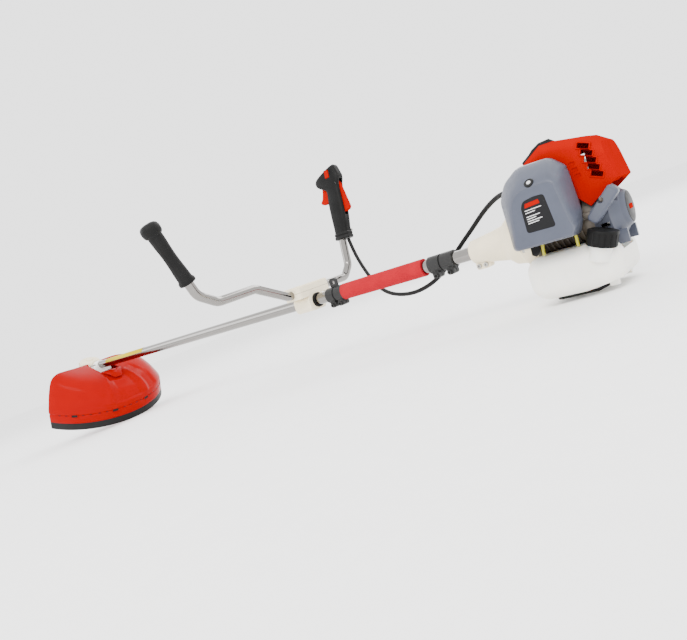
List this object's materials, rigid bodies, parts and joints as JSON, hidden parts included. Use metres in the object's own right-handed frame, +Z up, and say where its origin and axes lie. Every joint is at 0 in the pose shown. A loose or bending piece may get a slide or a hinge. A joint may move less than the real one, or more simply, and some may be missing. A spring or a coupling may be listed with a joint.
{
  "type": "brush cutter",
  "caption": "Petrol brush cutter: straight shaft with a three-tooth blade, rear guard, bull-horn handlebars, throttle handle and a rear two-stroke engine.",
  "frame": {"origin": "middle of the bounding box at floor level, the machine lying on its guard and its tank stand", "axes": "+X along the machine from the cutting head to the engine, +Y to the user's right, +Z up"},
  "size_m": [1.9331, 0.6252, 0.4654],
  "materials": {
    "black_paint": "satin",
    "cast_alloy": "as cast",
    "machined_steel": "ground",
    "chrome_tube": "polished",
    "blade_steel": "ground",
    "red_plastic": "satin",
    "orange_red_plastic": "satin",
    "pink_red_sleeve": "matte",
    "cream_alloy": "satin",
    "white_plastic": "satin",
    "natural_plastic": "translucent",
    "black_plastic": "textured",
    "black_rubber": "matte",
    "grey_plastic": "satin",
    "taupe_alloy": "as cast",
    "bearing_steel": "ground",
    "zinc_steel": "zinc plated",
    "fuel_hose": "satin",
    "foam": "open cell",
    "rope": "braided",
    "ceramic": "glazed"
  },
  "bodies": {
    "machine": {"gear_case": "cream_alloy", "ball_bearings": "bearing_steel", "guard_shield": "red_plastic", "guard_skirt": "black_plastic", "guard_bracket": "white_plastic", "shaft_tube": "chrome_tube", "shaft_bushes": "black_rubber", "handlebar_clamp": "cream_alloy", "handlebar_cap": "cream_alloy", "shaft_damper": "black_rubber", "left_handlebar": "chrome_tube", "right_handlebar": "chrome_tube", "left_grip": "black_rubber", "throttle_housing": "black_plastic", "throttle_housing_cover": "black_plastic", "throttle_pins": "machined_steel", "throttle_cable": "black_rubber", "hip_sleeve": "pink_red_sleeve", "harness_clamp": "black_paint", "cable_clamp": "black_paint", "clutch_housing": "cream_alloy", "crankcase": "taupe_alloy", "cylinder": "cast_alloy", "piston": "cast_alloy", "connecting_rod": "machined_steel", "spark_plug": "ceramic", "plug_cap": "black_rubber", "ignition_coil": "black_plastic", "muffler": "black_paint", "carburettor": "cast_alloy", "filter_base": "black_plastic", "air_filter": "foam", "air_cleaner_cover": "grey_plastic", "top_cover": "orange_red_plastic", "starter_housing": "grey_plastic", "fuel_tank": "natural_plastic", "fuel_lines": "fuel_hose", "tank_stand": "zinc_steel", "socket_screws": "zinc_steel"},
    "cutter": {"output_shaft": "machined_steel", "blade_flange": "zinc_steel", "cutting_blade": "blade_steel", "blade_clamp": "zinc_steel", "blade_nut": "zinc_steel"},
    "drive_line": {"drive_shaft": "machined_steel", "input_pinion": "machined_steel", "clutch_drum": "machined_steel"},
    "crank": {"crankshaft": "machined_steel", "flywheel": "cast_alloy", "clutch_shoes": "machined_steel"},
    "starter_reel": {"starter_pulley": "black_plastic"},
    "pull_handle": {"starter_grip": "grey_plastic", "starter_rope": "rope"},
    "trigger": {"throttle_trigger": "orange_red_plastic"},
    "lockout": {"throttle_lockout": "orange_red_plastic"},
    "stop_key": {"stop_button": "orange_red_plastic"},
    "carburettor_spindle": {"carb_lever": "zinc_steel"},
    "primer": {"primer_bulb": "black_rubber"},
    "choke": {"choke_lever": "black_plastic"},
    "tank_cap": {"fuel_cap": "black_plastic"}
  },
  "joints": [
    {"name": "blade_spin", "type": "hinge", "parent": "machine", "child": "cutter", "pos_m": [-0.83675, 0.06534, 0.20891], "axis": [0.4294, 0, 0.9031], "continuous": true},
    {"name": "drive_shaft_spin", "type": "hinge", "parent": "machine", "child": "drive_line", "pos_m": [-0.77083, 0.06534, 0.20554], "axis": [0.9987, 0, -0.0511], "continuous": true},
    {"name": "crank_spin", "type": "hinge", "parent": "machine", "child": "crank", "pos_m": [0.82708, 0.06534, 0.12375], "axis": [0.9987, 0, -0.0511], "continuous": true},
    {"name": "starter_pull", "type": "slide", "parent": "machine", "child": "pull_handle", "axis": [0, -1, 0], "range_m": [0, 0.6], "stiffness_N_per_m": 20, "springref_m": -0.5},
    {"name": "starter_pulley_spin", "type": "hinge", "parent": "machine", "child": "starter_reel", "pos_m": [0.93693, 0.06534, 0.11813], "axis": [0.9987, 0, -0.0511], "range_deg": [0, 1400]},
    {"name": "trigger_swing", "type": "hinge", "parent": "machine", "child": "trigger", "pos_m": [0.24909, 0.28842, 0.41264], "axis": [0.0091, -0.9842, 0.1771], "range_deg": [0, 18], "stiffness_Nm_per_rad": 0.6, "springref_deg": -17.19},
    {"name": "lockout_swing", "type": "hinge", "parent": "machine", "child": "lockout", "pos_m": [0.27725, 0.28913, 0.41514], "axis": [-0.0091, 0.9842, -0.1771], "range_deg": [0, 10], "stiffness_Nm_per_rad": 0.6, "springref_deg": -17.19},
    {"name": "stop_press", "type": "slide", "parent": "machine", "child": "stop_key", "axis": [-0.0091, 0.9842, -0.1771], "range_m": [0, 0.0025], "stiffness_N_per_m": 400, "springref_m": -0.003},
    {"name": "carb_lever_turn", "type": "hinge", "parent": "machine", "child": "carburettor_spindle", "pos_m": [0.85804, -0.00766, 0.12217], "axis": [0.0511, 0, 0.9987], "range_deg": [0, 75.5]},
    {"name": "primer_press", "type": "slide", "parent": "machine", "child": "primer", "axis": [0.0511, 0, 0.9987], "range_m": [0, 0.004], "stiffness_N_per_m": 300, "springref_m": -0.004},
    {"name": "choke_turn", "type": "hinge", "parent": "machine", "child": "choke", "pos_m": [0.82708, -0.02266, 0.12375], "axis": [0, -1, 0], "range_deg": [0, 60]},
    {"name": "fuel_cap_turn", "type": "hinge", "parent": "machine", "child": "tank_cap", "pos_m": [0.9133, -0.00166, 0.06727], "axis": [0.4268, 0, 0.9044], "range_deg": [0, 270]}
  ],
  "couplings": [
    {"joint": "drive_shaft_spin", "follows": "blade_spin", "ratio": 1.3571},
    {"joint": "starter_pulley_spin", "follows": "starter_pull", "rad_per_m": 39.841},
    {"joint": "carb_lever_turn", "follows": "trigger_swing", "ratio": 4.1667}
  ]
}
